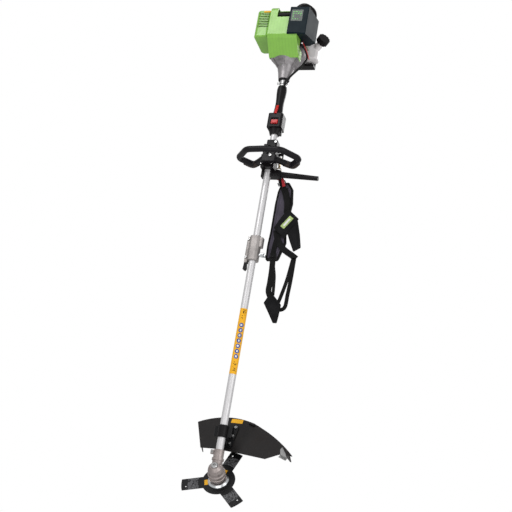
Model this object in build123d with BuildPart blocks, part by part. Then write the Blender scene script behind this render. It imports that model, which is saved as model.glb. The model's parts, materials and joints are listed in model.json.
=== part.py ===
from build123d import *
import os
from math import atan, cos, degrees, radians, sin

os.makedirs("parts", exist_ok=True)

# A split-shaft brush cutter, in millimetres.
# Every piece along the tube is placed by its station: its distance from the bevel gears'
# centre towards the engine. +Z runs up the tube to the engine, -Y is the side that faces up
# in use, +X is the operator's left. The origin is on the tube at the holding point.

# Tube and drive line
hold_station = 960.0
tube_outer = 26.0
tube_wall = 1.5
shaft_radius = 4.0
shaft_square = 5.4
square_gap = 0.15
running_fit = 0.05
body_gap = 0.4
tube_radius = tube_outer / 2
tube_bore = tube_radius - tube_wall

# Stations along the tube
socket_floor = 44.0
neck_top = 70.0
sleeve_low = 112.0
sleeve_high = 154.0
coupling_low = 753.0
split_station = 798.0
coupling_high = 847.0
barrier_station = 1102.0
bracket_low = 1114.0
loop_station = 1140.0
bracket_high = 1232.0
collar_low = 1262.0
box_low = 1286.0
box_high = 1343.0
grip_high = 1469.0
housing_low = 1500.0
tube_end = 1530.0
drum_floor = 1576.0
housing_rim = 1612.0
fan_back = 1636.0
cylinder_station = 1668.0
case_back = 1700.0
starter_back = 1762.0

# Gear head
blade_tilt = 30.0
wheel_teeth = 18
pinion_teeth = 13
cone_outer = 19.0
cone_inner = 12.0
spindle_radius = 6.0
stub_radius = 5.0
stub_length = 10.0
case_bottom = -38.0

# Blade
blade_radius = 127.5
blade_disc = 57.0
blade_thick = 3.0
blade_bore = 12.7
blade_height = -50.0
arm_width = 46.0
blade_phase = -163.0

# Guard
guard_height = 41.0
guard_wall = 3.0
guard_skirt = 46.0

# Engine
cylinder_bore = 19.5
crank_throw = 13.0
crank_radius = 6.0
head_height = -100.0
shroud_top = -130.0
shroud_wall = 2.5
cover_wall = 2.5
tank_wall = 2.5
loom_radius = 4.0


def station(distance, x=0.0, y=0.0):
    return Plane(origin=(x, y, distance - hold_station))


def point(x, y, distance):
    return (x, y, distance - hold_station)


# Spin frame of the blade: X across, E along the ground away from the cutting edge, G up.
tilt = radians(blade_tilt)
gear_centre = Vector(0, 0, -hold_station)
up = Vector(0, -cos(tilt), sin(tilt))
back = Vector(0, sin(tilt), cos(tilt))
across = Vector(1, 0, 0)
spin_axis = Axis(gear_centre, up)


def spin_plane(height, x=0.0, e=0.0):
    return Plane(origin=gear_centre + up * height + across * x + back * e, x_dir=across, z_dir=up)


def ring_profile(points, plane):
    with BuildSketch(plane) as profile:
        with BuildLine():
            Polyline(*points, close=True)
        make_face()
    return profile.sketch


def turned(points, mode=Mode.ADD):
    """Turn (radius, station) points about the tube's axis."""
    plane = Plane(origin=(0, 0, -hold_station), x_dir=(1, 0, 0), z_dir=(0, -1, 0))
    revolve(ring_profile(points, plane), axis=Axis.Z, mode=mode)


def spun(points, mode=Mode.ADD):
    """Turn (radius, height) points about the blade's spin axis."""
    plane = Plane(origin=gear_centre, x_dir=across, z_dir=-back)
    revolve(ring_profile(points, plane), axis=spin_axis, mode=mode)


def rod(start, direction, radius, length, mode=Mode.ADD):
    with BuildSketch(Plane(origin=start, z_dir=direction)) as face:
        Circle(radius)
    extrude(face.sketch, amount=length, mode=mode)


def block(x_span, y_span, s_span, corner=0.0, mode=Mode.ADD):
    """A box between two X, two Y and two station values, its upright corners rounded."""
    centre_x = (x_span[0] + x_span[1]) / 2
    centre_y = (y_span[0] + y_span[1]) / 2
    width = x_span[1] - x_span[0]
    depth = y_span[1] - y_span[0]
    with BuildSketch(station(s_span[0], centre_x, centre_y)) as face:
        if corner:
            RectangleRounded(width, depth, corner)
        else:
            Rectangle(width, depth)
    extrude(face.sketch, amount=s_span[1] - s_span[0], mode=mode)


def hex_rod(start, direction, flats, length, mode=Mode.ADD):
    with BuildSketch(Plane(origin=start, z_dir=direction)) as face:
        RegularPolygon(flats / 2, 6, major_radius=False)
    extrude(face.sketch, amount=length, mode=mode)


def bolt(start, direction, radius, length, head_radius, head_height):
    """A socket-head bolt: start is under its head, direction is where its shank goes."""
    way = Vector(*direction).normalized()
    head_start = Vector(*start) - way * head_height
    rod(start, way, radius, length)
    rod(head_start, way, head_radius, head_height)
    hex_rod(head_start, way, head_radius, head_height * 0.6, mode=Mode.SUBTRACT)


def bevel_teeth(count, half_angle, first_angle, axis_way, side_way, tooth_root):
    """Tapered teeth on a pitch cone whose apex is the gear centre."""
    half = radians(half_angle)
    third = axis_way.cross(side_way)
    for tooth in range(count):
        angle = radians(first_angle + tooth * 360 / count)
        radial = side_way * cos(angle) + third * sin(angle)
        generator = radial * sin(half) + axis_way * cos(half)
        tangent = axis_way.cross(radial)
        sections = []
        for distance in (cone_inner, cone_outer):
            share = distance / cone_outer
            place = Plane(origin=gear_centre + generator * distance, x_dir=-tangent, z_dir=generator)
            with BuildSketch(place) as section:
                with BuildLine():
                    Polyline(
                        (-1.8 * share, -tooth_root * share),
                        (1.8 * share, -tooth_root * share),
                        (0.7 * share, 1.1 * share),
                        (-0.7 * share, 1.1 * share),
                        close=True,
                    )
                make_face()
            sections.append(section.sketch.faces()[0])
        loft(sections)


# ---------------------------------------------------------------- lower unit

with BuildPart() as lower_tube:
    with BuildSketch(station(socket_floor)):
        Circle(tube_radius)
        Circle(tube_bore, mode=Mode.SUBTRACT)
    extrude(amount=split_station - body_gap - socket_floor)
lower_tube.part.label = "lower_tube"
export_step(lower_tube.part, "parts/lower_tube.step")

neck_radius = tube_radius + 4.5
pinion_bore = 15.6
bearing_outer = 16.0
wheel_room = 21.8
case_top = 25.0
plug_radius = 7.0
plug_cap = 11.8
plug_top = case_top + 6
pinion_shank = 6.0

with BuildPart() as gear_case:
    spun(
        [
            (0, case_top), (15, case_top), (23, 17), (27, 6), (27, -5), (30, -8), (30, -14), (27, -17),
            (27, -22), (29, -24), (29, -29), (26, -31), (24, case_bottom), (0, case_bottom),
        ]
    )
    with BuildSketch(station(0)):
        Circle(neck_radius)
    extrude(amount=neck_top)
    turned([(0, 34), (neck_radius + 3, 34), (neck_radius + 3, 42), (0, 42)])
    block((-29, -10), (-7, 7), (54, 68), corner=3)
    spun([(0, 11), (wheel_room, 11), (wheel_room, -14), (0, -14)], mode=Mode.SUBTRACT)
    spun(
        [(0, -14), (bearing_outer, -14), (bearing_outer, case_bottom), (0, case_bottom)],
        mode=Mode.SUBTRACT,
    )
    spun([(0, case_top), (plug_radius, case_top), (plug_radius, 11), (0, 11)], mode=Mode.SUBTRACT)
    spun([(0, plug_top), (plug_cap, plug_top), (plug_cap, case_top), (0, case_top)], mode=Mode.SUBTRACT)
    turned([(0, 0), (pinion_bore, 0), (pinion_bore, 24), (0, 24)], mode=Mode.SUBTRACT)
    turned([(0, 24), (tube_radius, 24), (tube_radius, neck_top), (0, neck_top)], mode=Mode.SUBTRACT)
    block((-30, -12), (-1, 1), (50, neck_top), mode=Mode.SUBTRACT)
    rod(point(-22, -8, 61), (0, 1, 0), 2.5, 16, mode=Mode.SUBTRACT)
gear_case.part.label = "gear_case"
export_step(gear_case.part, "parts/gear_case.step")

with BuildPart() as grease_plug:
    spun(
        [
            (0, case_top - 4), (plug_radius, case_top - 4), (plug_radius, case_top), (plug_cap, case_top),
            (plug_cap, plug_top - 2), (plug_cap - 2, plug_top), (0, plug_top),
        ]
    )
    hex_rod(gear_centre + up * plug_top, -up, 8, 4, mode=Mode.SUBTRACT)
grease_plug.part.label = "grease_plug"
export_step(grease_plug.part, "parts/grease_plug.step")

bearing_hole = spindle_radius + running_fit

with BuildPart() as gear_bearings:
    for top in (-14.0, -29.0):
        spun(
            [(bearing_hole, top), (bearing_outer, top), (bearing_outer, top - 8), (bearing_hole, top - 8)],
        )
    shank_hole = pinion_shank + running_fit
    turned([(shank_hole, 24), (tube_radius, 24), (tube_radius, 34), (shank_hole, 34)])
gear_bearings.part.label = "gear_bearings"
export_step(gear_bearings.part, "parts/gear_bearings.step")

# Pitch cones of a 120 degree pair: their half angles add up to the angle of the axes.
axes_angle = radians(90 + blade_tilt)
pinion_cone = degrees(atan(sin(axes_angle) / (wheel_teeth / pinion_teeth + cos(axes_angle))))
wheel_cone = 90 + blade_tilt - pinion_cone
wheel_rim = cone_outer * sin(radians(wheel_cone))
wheel_drop = cone_outer * cos(radians(wheel_cone))
pinion_rim = cone_outer * sin(radians(pinion_cone))
pinion_lift = cone_outer * cos(radians(pinion_cone))
tooth_depth = 1.7

with BuildPart() as bevel_pinion:
    turned(
        [
            (0, pinion_lift * 0.66 + 0.5), (pinion_rim * 0.63 - 1.5, pinion_lift * 0.66 + 0.5),
            (pinion_rim - 1.3, pinion_lift + 1.2), (pinion_rim - 1.3, 21), (pinion_shank, 23),
            (pinion_shank, 46), (shaft_radius, 46), (shaft_radius, 36), (0, 36),
        ]
    )
    bevel_teeth(
        pinion_teeth, pinion_cone, 90 + 180 / pinion_teeth, Vector(0, 0, 1), across, tooth_depth + 0.5
    )
bevel_pinion.part.label = "bevel_pinion"
export_step(bevel_pinion.part, "parts/bevel_pinion.step")

with BuildPart() as bevel_gear:
    spun(
        [
            (spindle_radius, -wheel_drop * 0.63 - 1.8), (wheel_rim * 0.63, -wheel_drop * 0.63 - 1.8),
            (wheel_rim, -wheel_drop - 1.8), (wheel_rim, -13), (spindle_radius, -13),
        ]
    )
    bevel_teeth(wheel_teeth, wheel_cone, -90, -up, across, tooth_depth + 0.5)
bevel_gear.part.label = "bevel_gear"
export_step(bevel_gear.part, "parts/bevel_gear.step")

# The spindle carries the flange, the blade and the nut, and ends in a bare threaded stub.
blade_top = blade_height + blade_thick / 2
blade_under = blade_height - blade_thick / 2
cup_depth = 8.0
nut_height = 7.0
nut_end = blade_under - cup_depth - nut_height

with BuildPart() as output_spindle:
    spun(
        [
            (0, -5), (spindle_radius, -5), (spindle_radius, -13), (8, -13), (8, -13.8),
            (spindle_radius, -13.8), (spindle_radius, blade_under), (stub_radius, blade_under),
            (stub_radius, nut_end - stub_length), (0, nut_end - stub_length),
        ]
    )
output_spindle.part.label = "output_spindle"
export_step(output_spindle.part, "parts/output_spindle.step")

flange_radius = 36.0

with BuildPart() as blade_flange:
    spun(
        [
            (spindle_radius, case_bottom - body_gap), (15, case_bottom - body_gap), (15, -41),
            (30, -41), (flange_radius - 2, -44), (flange_radius, -45.5), (flange_radius, blade_top),
            (blade_bore, blade_top), (blade_bore, blade_under), (spindle_radius, blade_under),
        ]
    )
blade_flange.part.label = "blade_flange"
export_step(blade_flange.part, "parts/blade_flange.step")

with BuildPart() as blade:
    with BuildSketch(spin_plane(blade_under)):
        Circle(blade_disc)
        with PolarLocations(0, 3, start_angle=blade_phase):
            with Locations((blade_radius / 2, 0)):
                Rectangle(blade_radius, arm_width)
        blade_centre = spin_plane(blade_under).origin
        fillet([v for v in vertices() if v.distance_to(blade_centre) < 70], 16)
        with BuildSketch(mode=Mode.INTERSECT):
            Circle(blade_radius)
        Circle(blade_bore, mode=Mode.SUBTRACT)
        with PolarLocations(0, 3, start_angle=blade_phase + 60):
            SlotArc(CenterArc((0, 0), 47, -17, 34), 7, mode=Mode.SUBTRACT)
        with PolarLocations(blade_radius - 16, 3, start_angle=blade_phase):
            with Locations((0, 9)):
                Circle(3, mode=Mode.SUBTRACT)
    extrude(amount=blade_thick)
blade.part.label = "blade"
export_step(blade.part, "parts/blade.step")

# The guard is a flat deflector with a skirt along its outer rim, open towards the blade.
guard_bottom = blade_height + guard_height
guard_top = guard_bottom + guard_wall
sleeve_radius = tube_radius + 3.5
base_thick = 5.0
bolt_radius = 3.0
guard_bolt_x = 11.0
guard_bolt_places = (122.0, 156.0, 196.0)
guard_left = (-137.0, 210.0)
guard_right = (237.0, 104.0)
guard_outline = [(-90, 98), (-37, 100), (56, 91), (147, 80), (191, 106)]


def guard_sketch(height, inset=0.0):
    with BuildSketch(spin_plane(height)) as shape:
        with BuildLine():
            Polyline(guard_left, *guard_outline, guard_right)
            ThreePointArc(guard_right, (173, 163), (100, 211))
            ThreePointArc((100, 211), (-18, 245), guard_left)
        make_face()
        if inset:
            offset(amount=-inset)
    return shape.sketch


with BuildPart() as guard:
    extrude(guard_sketch(guard_bottom - guard_skirt), amount=guard_skirt + guard_wall)
    extrude(guard_sketch(guard_bottom - guard_skirt, guard_wall), amount=guard_skirt, mode=Mode.SUBTRACT)
    with BuildSketch(spin_plane(guard_bottom - guard_skirt)):
        Rectangle(600, 118, align=(Align.CENTER, Align.MAX))
        with Locations((0, 118)):
            Rectangle(600, 118, align=(Align.CENTER, Align.MAX))
    extrude(amount=guard_skirt, mode=Mode.SUBTRACT)
    with BuildSketch(spin_plane(guard_top)):
        with BuildLine():
            Polyline((30, 232), (140, 175), (150, 96), (52, 104), close=True)
        make_face()
        fillet(vertices(), 6)
    extrude(amount=1.2, taper=30)
    with BuildSketch(spin_plane(guard_top)):
        with Locations((62, 222)):
            Rectangle(22, 8, rotation=-18)
    extrude(amount=6)
    for place in guard_bolt_places:
        rod(
            spin_plane(guard_top + 2, guard_bolt_x, place).origin, -up, bolt_radius, 12,
            mode=Mode.SUBTRACT,
        )
guard.part.label = "guard"
export_step(guard.part, "parts/guard.step")

with BuildPart() as guard_bracket:
    with BuildSketch(spin_plane(guard_top)):
        with Locations((0, 157)):
            RectangleRounded(40, 104, 8)
    extrude(amount=base_thick)
    with BuildSketch(Plane(origin=(-4, 0, -hold_station), x_dir=(0, 1, 0), z_dir=(1, 0, 0))):
        with BuildLine():
            base_front = up * (guard_top + 1) + back * 112
            base_rear = up * (guard_top + 1) + back * 200
            Polyline(
                (sleeve_radius + 2, sleeve_low), (sleeve_radius + 2, sleeve_high),
                (base_rear.Y, base_rear.Z), (base_front.Y, base_front.Z), close=True,
            )
        make_face()
    extrude(amount=8)
    saddle = sleeve_radius + 5
    turned([(0, sleeve_low), (saddle, sleeve_low), (saddle, sleeve_high), (0, sleeve_high)])
    block((-31, 31), (2, 12), (sleeve_low + 4, sleeve_high - 4), corner=3)
    turned([(0, 0), (sleeve_radius, 0), (sleeve_radius, 200), (0, 200)], mode=Mode.SUBTRACT)
    block((-40, 40), (-30, 2), (sleeve_low - 4, sleeve_high + 4), mode=Mode.SUBTRACT)
    for place in guard_bolt_places:
        rod(
            spin_plane(guard_top + 20, guard_bolt_x, place).origin, -up, bolt_radius, 30,
            mode=Mode.SUBTRACT,
        )
guard_bracket.part.label = "guard_bracket"
export_step(guard_bracket.part, "parts/guard_bracket.step")

with BuildPart() as guard_sleeve:
    turned(
        [
            (tube_radius, sleeve_low), (sleeve_radius, sleeve_low), (sleeve_radius, sleeve_high),
            (tube_radius, sleeve_high),
        ]
    )
    for rib in range(5):
        low = sleeve_low + 4 + rib * 8
        turned(
            [(sleeve_radius - 1, low), (sleeve_radius + 1, low), (sleeve_radius + 1, low + 3), (sleeve_radius - 1, low + 3)],
        )
    with BuildSketch(station(sleeve_low - 1, 0, 1)):
        Rectangle(60, 30, align=(Align.CENTER, Align.MIN))
        with Locations((0, -1)):
            Circle(sleeve_radius, mode=Mode.SUBTRACT)
    extrude(amount=sleeve_high - sleeve_low + 2, mode=Mode.SUBTRACT)
guard_sleeve.part.label = "guard_sleeve"
export_step(guard_sleeve.part, "parts/guard_sleeve.step")

with BuildPart() as guard_bolts:
    for place in guard_bolt_places:
        head_seat = spin_plane(guard_top + base_thick, guard_bolt_x, place).origin
        bolt(head_seat, -up, bolt_radius, base_thick + guard_wall + 3, 5.5, 4.5)
    bolt(point(-22, -7, 61), (0, 1, 0), 2.5, 14, 5.0, 4.0)
guard_bolts.part.label = "guard_bolts"
export_step(guard_bolts.part, "parts/guard_bolts.step")

with BuildPart() as line_cutter:
    knife_place = Plane(
        origin=spin_plane(guard_bottom, 206, 96).origin, x_dir=(across * 0.92 - back * 0.39), z_dir=up
    )
    with BuildSketch(knife_place):
        Rectangle(30, 12)
    extrude(amount=-2)
    with BuildSketch(Plane(origin=knife_place.origin, x_dir=knife_place.x_dir, z_dir=knife_place.y_dir)):
        with BuildLine():
            Polyline((-11, 0), (15, 0), (15, -24), (6, -52), (-4, -38), close=True)
        make_face()
    extrude(amount=2)
line_cutter.part.label = "line_cutter"
export_step(line_cutter.part, "parts/line_cutter.step")

with BuildPart() as blade_nut:
    cup_floor = blade_under - cup_depth
    spun(
        [
            (stub_radius, blade_under), (30, blade_under), (30, blade_under - 2), (22, cup_floor),
            (stub_radius, cup_floor),
        ]
    )
    hex_rod(gear_centre + up * cup_floor, -up, 17, nut_height)
    rod(gear_centre + up * cup_floor, -up, stub_radius, nut_height, mode=Mode.SUBTRACT)
blade_nut.part.label = "blade_nut"
export_step(blade_nut.part, "parts/blade_nut.step")

# ---------------------------------------------------------------- drive line and coupling

square_low = split_station - 18
socket_low = square_low + body_gap

with BuildPart() as lower_drive_shaft:
    with BuildSketch(station(36)):
        Circle(shaft_radius)
    extrude(amount=square_low - 36)
    with BuildSketch(station(square_low)):
        Rectangle(shaft_square, shaft_square)
    extrude(amount=16)
lower_drive_shaft.part.label = "lower_drive_shaft"
export_step(lower_drive_shaft.part, "parts/lower_drive_shaft.step")

socket_radius = 8.0

with BuildPart() as upper_drive_shaft:
    with BuildSketch(station(socket_low)):
        Circle(socket_radius)
    extrude(amount=40)
    with BuildSketch(station(split_station)):
        Circle(shaft_radius)
    extrude(amount=drum_floor + 4 - split_station)
    with BuildSketch(station(socket_low)):
        Rectangle(shaft_square + 2 * square_gap, shaft_square + 2 * square_gap)
    extrude(amount=split_station - socket_low, mode=Mode.SUBTRACT)
upper_drive_shaft.part.label = "upper_drive_shaft"
export_step(upper_drive_shaft.part, "parts/upper_drive_shaft.step")

with BuildPart() as upper_tube:
    with BuildSketch(station(split_station + body_gap)):
        Circle(tube_radius)
        Circle(tube_bore, mode=Mode.SUBTRACT)
    extrude(amount=tube_end - split_station - body_gap)
upper_tube.part.label = "upper_tube"
export_step(upper_tube.part, "parts/upper_tube.step")

with BuildPart() as shaft_bushes:
    for place in (880, 1040, 1200, 1360, 1500):
        with BuildSketch(station(place)):
            Circle(tube_bore)
            Circle(shaft_radius + running_fit, mode=Mode.SUBTRACT)
        extrude(amount=14)
shaft_bushes.part.label = "shaft_bushes"
export_step(shaft_bushes.part, "parts/shaft_bushes.step")

coupling_half = 20.0
knob_station = 777.0
screw_radius = 2.5
coupling_bolt_places = (764.0, 834.0)

# The lock lever hangs beside the lower tube on a pin under the coupling.
lever_x = -24.0
lever_pivot = coupling_low - 4.0

with BuildPart() as coupling_body:
    block((-coupling_half, coupling_half), (-19, 19), (coupling_low, coupling_high), corner=12)
    block((4, 29), (-12, 12), (806, 842), corner=5)
    block((-30, -8), (-9, 9), (coupling_low + 4, coupling_high - 4), corner=4)
    fillet(edges().group_by(Axis.Z)[-1] + edges().group_by(Axis.Z)[0], 2)
    with BuildSketch(station(coupling_low)):
        Circle(tube_radius + running_fit)
    extrude(amount=split_station - coupling_low, mode=Mode.SUBTRACT)
    with BuildSketch(station(split_station)):
        Circle(tube_radius)
    extrude(amount=coupling_high - split_station, mode=Mode.SUBTRACT)
    block((-32, -10), (-1, 1), (coupling_low, coupling_high), mode=Mode.SUBTRACT)
    for place in coupling_bolt_places:
        rod(point(-25, -10, place), (0, 1, 0), screw_radius, 20, mode=Mode.SUBTRACT)
    rod(point(coupling_half - 6, 0, knob_station), (1, 0, 0), 4 + running_fit, 10, mode=Mode.SUBTRACT)
    for side in (-1, 1):
        block(
            (lever_x - 4, lever_x + 6), (side * 9 - 1.5, side * 9 + 1.5),
            (lever_pivot - 5, coupling_low + 6),
        )
    rod(point(lever_x, -11.5, lever_pivot), (0, 1, 0), 2, 23)
coupling_body.part.label = "coupling_body"
export_step(coupling_body.part, "parts/coupling_body.step")

with BuildPart() as clamp_knob:
    rod(point(coupling_half - 5, 0, knob_station), (1, 0, 0), 4, 14)
    rod(point(coupling_half + 3, 0, knob_station), (1, 0, 0), 7, 10)
    with BuildSketch(
        Plane(origin=point(coupling_half + 8, 0, knob_station), x_dir=(0, 1, 0), z_dir=(1, 0, 0))
    ):
        SlotCenterToCenter(22, 9)
    extrude(amount=14)
    with BuildSketch(
        Plane(origin=point(coupling_half + 16, 0, knob_station), x_dir=(0, 1, 0), z_dir=(1, 0, 0))
    ):
        Rectangle(12, 12)
    extrude(amount=8, mode=Mode.SUBTRACT)
clamp_knob.part.label = "clamp_knob"
export_step(clamp_knob.part, "parts/clamp_knob.step")

with BuildPart() as lock_lever:
    with BuildSketch(Plane(origin=point(lever_x, 6.5, lever_pivot), x_dir=(1, 0, 0), z_dir=(0, -1, 0))):
        Circle(4)
        with BuildLine():
            Polyline((-4, 0), (4, 0), (7, -26), (2, -34), (-6, -30), close=True)
        make_face()
        Circle(2 + running_fit, mode=Mode.SUBTRACT)
    extrude(amount=13)
lock_lever.part.label = "lock_lever"
export_step(lock_lever.part, "parts/lock_lever.step")

# ---------------------------------------------------------------- handles

bracket_half = 23.0
bracket_front = -34.0
loop_radius = 11.5
loop_centre_x = 12.0
loop_front = -126.0
handle_screw_places = (1148.0, 1222.0)
hook_x = 28.0
hook_y = 36.0
hook_station = 1188.0

with BuildPart() as handle_bracket:
    block((-bracket_half, 27), (bracket_front, 20), (bracket_low, bracket_high - 24), corner=6)
    block((-17, 24), (-24, 18), (bracket_high - 24, bracket_high), corner=6)
    block((10, 22), (18, hook_y + 2), (hook_station - 16, hook_station + 16))
    block((10, 38), (hook_y - 2, hook_y + 2), (hook_station - 16, hook_station + 16))
    fillet(edges().group_by(Axis.Z)[-1], 2)
    block((-7, 7), (bracket_front - 4, 0), (1164, 1204), mode=Mode.SUBTRACT)
    with BuildSketch(station(bracket_low)):
        Circle(tube_radius)
    extrude(amount=bracket_high - bracket_low, mode=Mode.SUBTRACT)
    rod(point(hook_x, hook_y - 6, hook_station), (0, 1, 0), 6.0, 12, mode=Mode.SUBTRACT)
    for place in handle_screw_places:
        rod(point(19, -40, place), (0, 1, 0), screw_radius, 70, mode=Mode.SUBTRACT)
handle_bracket.part.label = "handle_bracket"
export_step(handle_bracket.part, "parts/handle_bracket.step")

loop_points = [
    point(loop_centre_x - 22, bracket_front - loop_radius - 2, loop_station),
    point(loop_centre_x - 72, 6, loop_station),
    point(loop_centre_x - 118, -50, loop_station),
    point(loop_centre_x - 66, loop_front + 6, loop_station),
    point(loop_centre_x, loop_front, loop_station),
    point(loop_centre_x + 66, loop_front + 6, loop_station),
    point(loop_centre_x + 118, -50, loop_station),
    point(loop_centre_x + 72, 6, loop_station),
    point(loop_centre_x + 22, bracket_front - loop_radius - 2, loop_station),
]

with BuildPart() as loop_handle:
    with BuildLine() as loop_path:
        FilletPolyline(*loop_points, radius=(16, 22, 34, 120, 34, 22, 16))
    with BuildSketch(Plane(origin=loop_path.line @ 0, z_dir=loop_path.line % 0)):
        Circle(loop_radius)
    sweep(path=loop_path.line)
    block(
        (loop_centre_x - 30, loop_centre_x + 30), (bracket_front - 2 * loop_radius - 2, bracket_front),
        (loop_station - 13, loop_station + 13), corner=8,
    )
    block(
        (-bracket_half, 27), (bracket_front, 20), (bracket_low, bracket_high - 24), corner=6,
        mode=Mode.SUBTRACT,
    )
    rod(point(19, -60, handle_screw_places[0]), (0, 1, 0), screw_radius, 70, mode=Mode.SUBTRACT)
loop_handle.part.label = "loop_handle"
export_step(loop_handle.part, "parts/loop_handle.step")

bar_gap = 1.0

with BuildPart() as barrier_bar:
    block((-24, 52), (-9, 22), (barrier_station - 14, bracket_low - bar_gap), corner=6)
    with BuildSketch(Plane(origin=point(44, 6, barrier_station), z_dir=(1, 0, 0))):
        Ellipse(12, 10)
    with BuildSketch(Plane(origin=point(188, 6, barrier_station - 12), z_dir=(1, 0, 0))):
        Circle(8.5)
    loft()
    with BuildSketch(Plane(origin=point(188, 6, barrier_station - 12), z_dir=(1, 0, 0))):
        Circle(8.5)
    extrude(amount=6)
    with BuildSketch(station(barrier_station - 20)):
        Circle(tube_radius)
    extrude(amount=40, mode=Mode.SUBTRACT)
    block((-13, 13), (-12, 0), (barrier_station - 20, bracket_low), mode=Mode.SUBTRACT)
barrier_bar.part.label = "barrier_bar"
export_step(barrier_bar.part, "parts/barrier_bar.step")

with BuildPart() as clamp_screws:
    for place in coupling_bolt_places:
        bolt(point(-25, -9, place), (0, 1, 0), screw_radius, 18, 4.5, 5)
    bolt(
        point(19, bracket_front - 2 * loop_radius - 2, handle_screw_places[0]), (0, 1, 0),
        screw_radius, 60, 4.5, 4,
    )
    bolt(point(19, -24, handle_screw_places[1]), (0, 1, 0), screw_radius, 42, 4.5, 4)
clamp_screws.part.label = "clamp_screws"
export_step(clamp_screws.part, "parts/clamp_screws.step")

# ---------------------------------------------------------------- rear grip

slot_x = 4.6
switch_station = box_low + 22

with BuildPart() as grip_body:
    sections = (
        (box_high - 2, 19.0, 21.0), (box_high + 30, 16.5, 18.0), (box_high + 80, 17.0, 19.0),
        (grip_high - 14, 18.5, 20.5), (grip_high, 16.5, 17.5),
    )
    for height, half_width, half_depth in sections:
        with BuildSketch(station(height)):
            Ellipse(half_width, half_depth)
    loft()
    block((-29, 29), (-28, 26), (box_low, box_high), corner=9)
    with BuildSketch(station(collar_low)):
        Circle(18)
    with BuildSketch(station(box_low)):
        Ellipse(26, 22)
    loft()
    block((12, 27), (-8, 8), (collar_low, box_low), corner=4)
    with BuildSketch(station(collar_low)):
        Circle(tube_radius)
    extrude(amount=grip_high - collar_low, mode=Mode.SUBTRACT)
    block((-slot_x, slot_x), (tube_radius + 1, 40), (box_low + 6, box_high + 4), mode=Mode.SUBTRACT)
    block((-slot_x, slot_x), (-40, -tube_radius - 1), (box_high - 6, box_high + 40), mode=Mode.SUBTRACT)
    block((-15, 15), (-30, -23), (switch_station - 15, switch_station + 15), mode=Mode.SUBTRACT)
    rod(point(11, -13, grip_high - 12), (0, 0, 1), loom_radius, 14, mode=Mode.SUBTRACT)

with BuildPart() as grip_left:
    add(grip_body.part)
    split(bisect_by=Plane.YZ, keep=Keep.TOP)
grip_left.part.label = "grip_left"
export_step(grip_left.part, "parts/grip_left.step")

with BuildPart() as grip_right:
    add(grip_body.part)
    split(bisect_by=Plane.YZ, keep=Keep.BOTTOM)
grip_right.part.label = "grip_right"
export_step(grip_right.part, "parts/grip_right.step")

side_plane = Plane(origin=(-slot_x + body_gap, 0, -hold_station), x_dir=(0, 1, 0), z_dir=(1, 0, 0))
lever_width = 2 * (slot_x - body_gap)

with BuildPart() as throttle_trigger:
    with BuildSketch(side_plane):
        with BuildLine():
            Polyline(
                (17, box_high + 1), (22, box_high + 1), (26, box_high - 3), (38, box_high - 12),
                (41, box_low + 22), (38, box_low + 12), (30, box_low + 11), (20, box_high - 16), (16, box_high - 8),
                close=True,
            )
        make_face()
        fillet(vertices(), 1.5)
    extrude(amount=lever_width)
throttle_trigger.part.label = "throttle_trigger"
export_step(throttle_trigger.part, "parts/throttle_trigger.step")

with BuildPart() as lockout_lever:
    with BuildSketch(side_plane):
        with BuildLine():
            Polyline(
                (-16, box_high + 37), (-20, box_high + 38), (-27, box_high + 22), (-33, box_high + 4),
                (-31, box_high - 3), (-27, box_high - 2), (-19, box_high + 22), close=True,
            )
        make_face()
        fillet(vertices(), 1.2)
    extrude(amount=lever_width)
lockout_lever.part.label = "lockout_lever"
export_step(lockout_lever.part, "parts/lockout_lever.step")

with BuildPart() as stop_switch:
    block((-13, 13), (-29, -23.4), (switch_station - 10, switch_station + 6), corner=2)
    block((-9, 9), (-32, -28), (switch_station - 8, switch_station - 1), corner=1)
stop_switch.part.label = "stop_switch"
export_step(stop_switch.part, "parts/stop_switch.step")

# ---------------------------------------------------------------- engine

rim_radius = 70.0
drum_radius = 39.0
starter_radius = 56.0
drum_room = 42.0
hub_radius = 8.0

with BuildPart() as clutch_housing:
    turned(
        [
            (0, housing_low), (20, housing_low), (22, housing_low + 2), (27, 1530), (34, 1556), (42, 1564),
            (47, 1572), (66, 1592), (rim_radius, 1600), (rim_radius, housing_rim), (0, housing_rim),
        ]
    )
    for rib in range(6):
        angle = rib * 60 + 30
        with BuildSketch(Plane(origin=(0, 0, -hold_station)).rotated((0, 0, angle)) * Plane.XZ):
            with BuildLine():
                Polyline((20, 1530), (31, 1545), (64, 1590), (40, 1590), (20, 1560), close=True)
            make_face()
        extrude(amount=2, both=True)
    turned(
        [(0, housing_low), (tube_radius, housing_low), (tube_radius, tube_end), (0, tube_end)],
        mode=Mode.SUBTRACT,
    )
    turned([(0, tube_end), (11, tube_end), (11, 1560), (0, 1560)], mode=Mode.SUBTRACT)
    turned(
        [(0, 1560), (hub_radius + running_fit, 1560), (hub_radius + running_fit, drum_floor - 2), (0, drum_floor - 2)],
        mode=Mode.SUBTRACT,
    )
    turned(
        [(0, drum_floor - 2), (drum_room, drum_floor - 2), (drum_room, 1592), (60, 1600), (64, housing_rim), (0, housing_rim)],
        mode=Mode.SUBTRACT,
    )
clutch_housing.part.label = "clutch_housing"
export_step(clutch_housing.part, "parts/clutch_housing.step")

with BuildPart() as clutch_drum:
    turned(
        [
            (shaft_radius, 1562), (hub_radius, 1562), (hub_radius, drum_floor), (drum_radius, drum_floor),
            (drum_radius, drum_floor + 24), (drum_radius - 2.5, drum_floor + 24), (drum_radius - 2.5, drum_floor + 4),
            (shaft_radius, drum_floor + 4),
        ]
    )
clutch_drum.part.label = "clutch_drum"
export_step(clutch_drum.part, "parts/clutch_drum.step")

flywheel_front = housing_rim + 4
flywheel_back = fan_back - 6

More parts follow.
